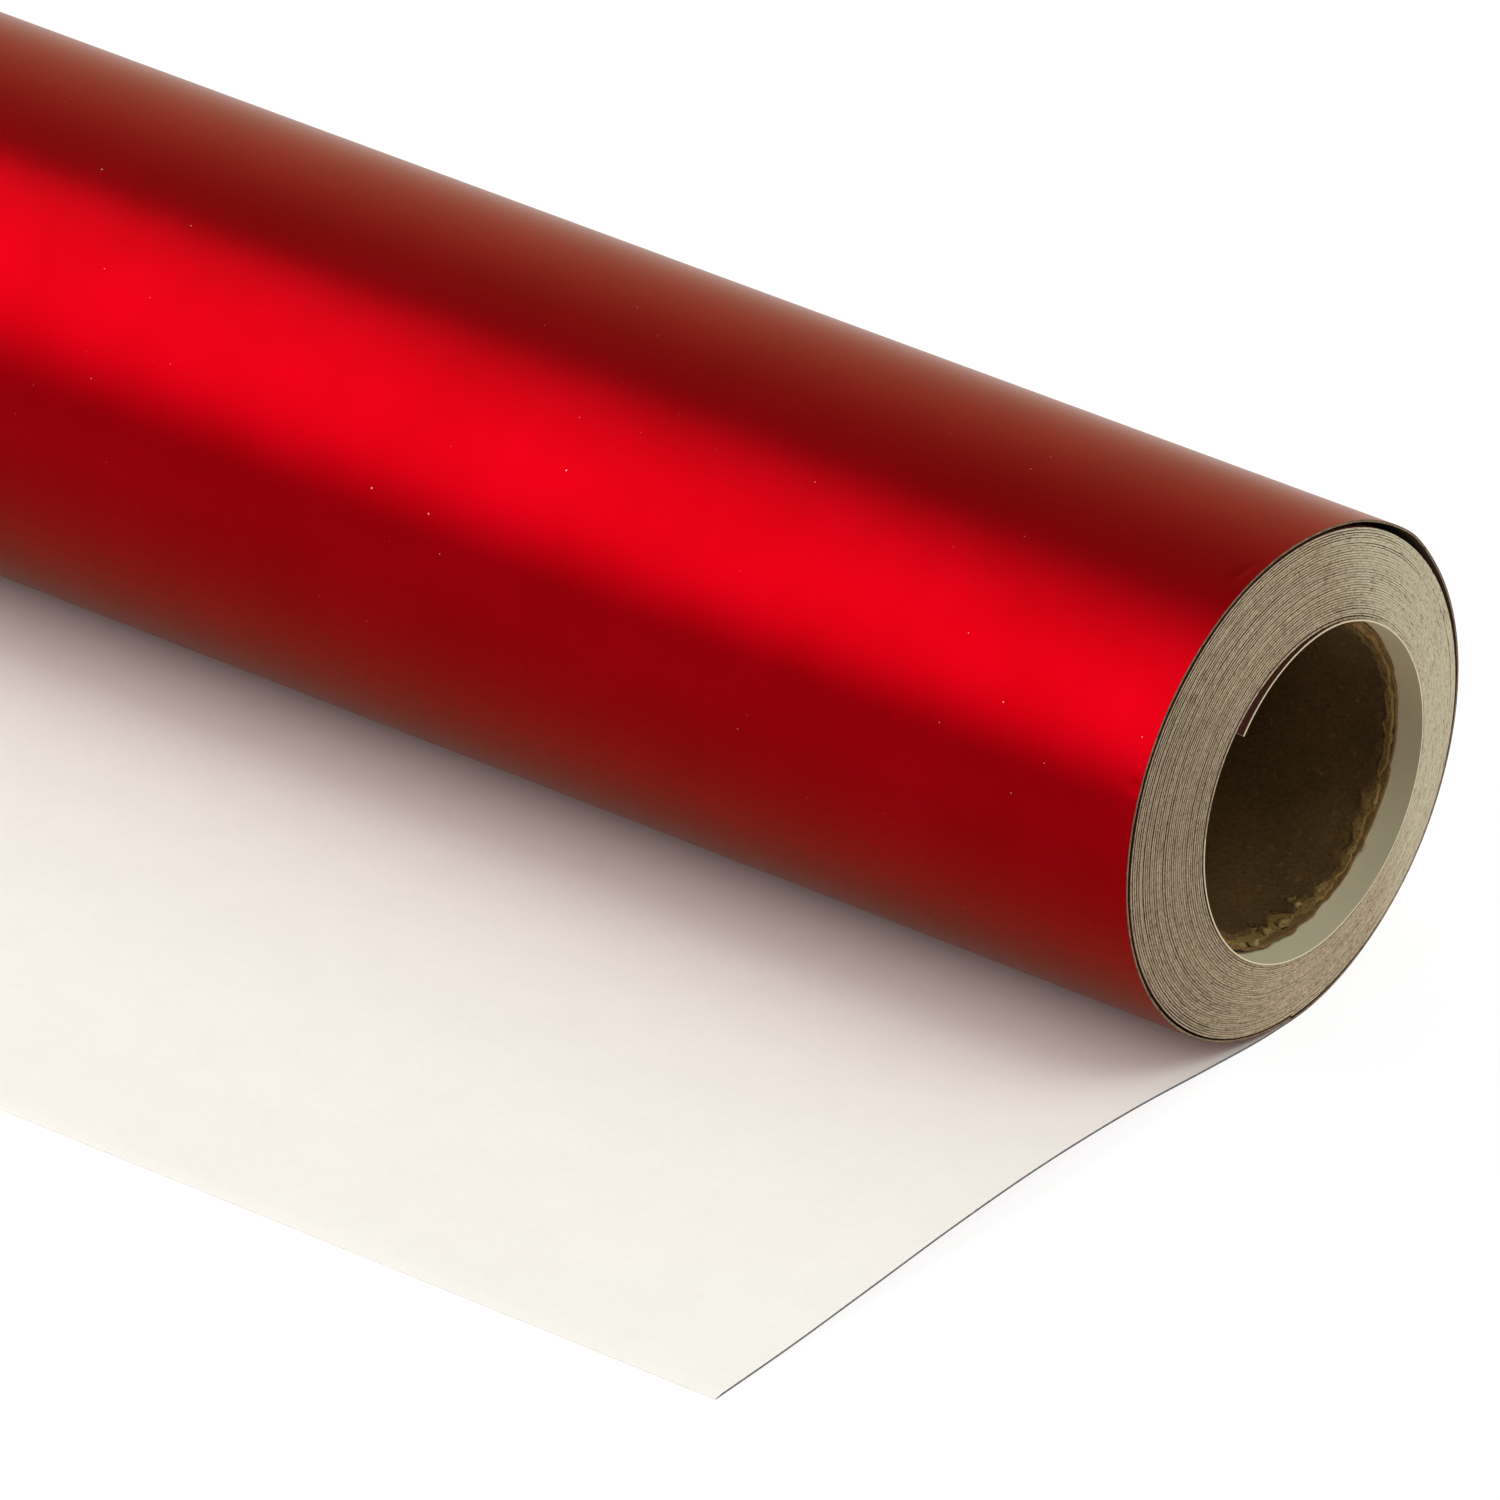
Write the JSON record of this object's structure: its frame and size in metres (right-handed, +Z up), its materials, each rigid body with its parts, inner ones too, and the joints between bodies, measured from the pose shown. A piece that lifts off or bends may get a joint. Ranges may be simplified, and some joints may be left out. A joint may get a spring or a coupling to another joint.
{
  "type": "roll of sign vinyl",
  "caption": "Roll of film-faced sign vinyl on a cardboard core, film side out, with a tail paid out flat to one side.",
  "frame": {"origin": "middle of the core's bore, on the roll's axis, halfway along its length", "axes": "+X along the roll's axis, towards the end whose inner turns stand out; the tail is paid out towards -Y; +Z up, away from the surface that the roll lies on"},
  "size_m": [0.3077, 0.1188, 0.0537],
  "materials": {
    "kraft": "rough kraft board",
    "face_film": "satin metallic red",
    "liner": "matt white paper",
    "web_edge": "cut edges of film and liner"
  },
  "bodies": {
    "outer_turn": {"outer_turn_film": "face_film", "outer_turn_liner": "liner"},
    "tail": {"tail_film": "face_film", "tail_liner": "liner"},
    "winding": {"first_turn_liner": "liner", "first_turn_film": "face_film", "wound_turns": "web_edge"},
    "core": {"core_inner_ply": "kraft", "core_middle_ply": "kraft", "core_outer_ply": "kraft"}
  },
  "joints": [
    {"name": "pay_out", "type": "slide", "parent": "outer_turn", "child": "tail", "axis": [0, -1, 0], "range_m": [0, 0.169]},
    {"name": "unwind", "type": "hinge", "parent": "outer_turn", "child": "winding", "pos_m": [0, 0, 0], "axis": [-1, 0, 0], "range_deg": [0, 360]},
    {"name": "core_slip", "type": "slide", "parent": "winding", "child": "core", "axis": [1, 0, 0], "range_m": [-0.01, 0]}
  ],
  "couplings": [
    {"joint": "unwind", "follows": "pay_out", "rad_per_m": 37.037}
  ]
}
